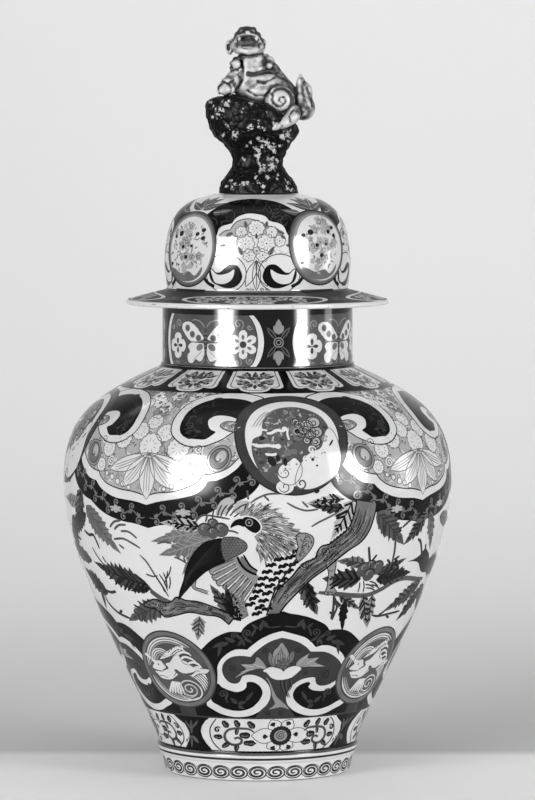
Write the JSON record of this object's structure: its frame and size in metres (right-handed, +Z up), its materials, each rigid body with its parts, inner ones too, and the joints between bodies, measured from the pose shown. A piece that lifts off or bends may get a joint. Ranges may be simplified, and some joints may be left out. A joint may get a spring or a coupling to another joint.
{
  "type": "lidded vase",
  "caption": "Tall covered baluster jar of glazed porcelain with a narrow foot, full shoulder, short neck, flanged dome cover and a crouching lion on a rock as its handle.",
  "frame": {"origin": "centre of the foot ring, on the plane that the jar stands on", "axes": "+Z up along the jar's axis, through the mouth and the cover; the lion faces -Y and its tail is on the +X side"},
  "size_m": [0.389, 0.389, 0.7452],
  "materials": {
    "glazed_porcelain": "clear glossy glaze over a painted white body",
    "bare_porcelain": "unglazed and smooth",
    "black_lacquer": "glossy black coating, worn through to white in patches",
    "gilding": "worn gilding over glaze, dark in the recesses"
  },
  "bodies": {
    "jar": {"jar_lower_body": "glazed_porcelain", "jar_shoulder": "glazed_porcelain", "jar_neck": "glazed_porcelain"},
    "cover": {"cover_dome": "glazed_porcelain", "cover_locating_rim": "bare_porcelain", "finial_rock": "black_lacquer", "lion_body": "gilding", "lion_head": "gilding", "lion_near_foreleg": "gilding", "lion_far_foreleg": "gilding", "lion_near_hind_leg": "gilding", "lion_far_hind_leg": "gilding", "lion_tail": "gilding"}
  },
  "joints": [
    {"name": "cover_lift", "type": "slide", "parent": "jar", "child": "cover", "axis": [0, 0, 1], "range_m": [0, 0.2]}
  ]
}
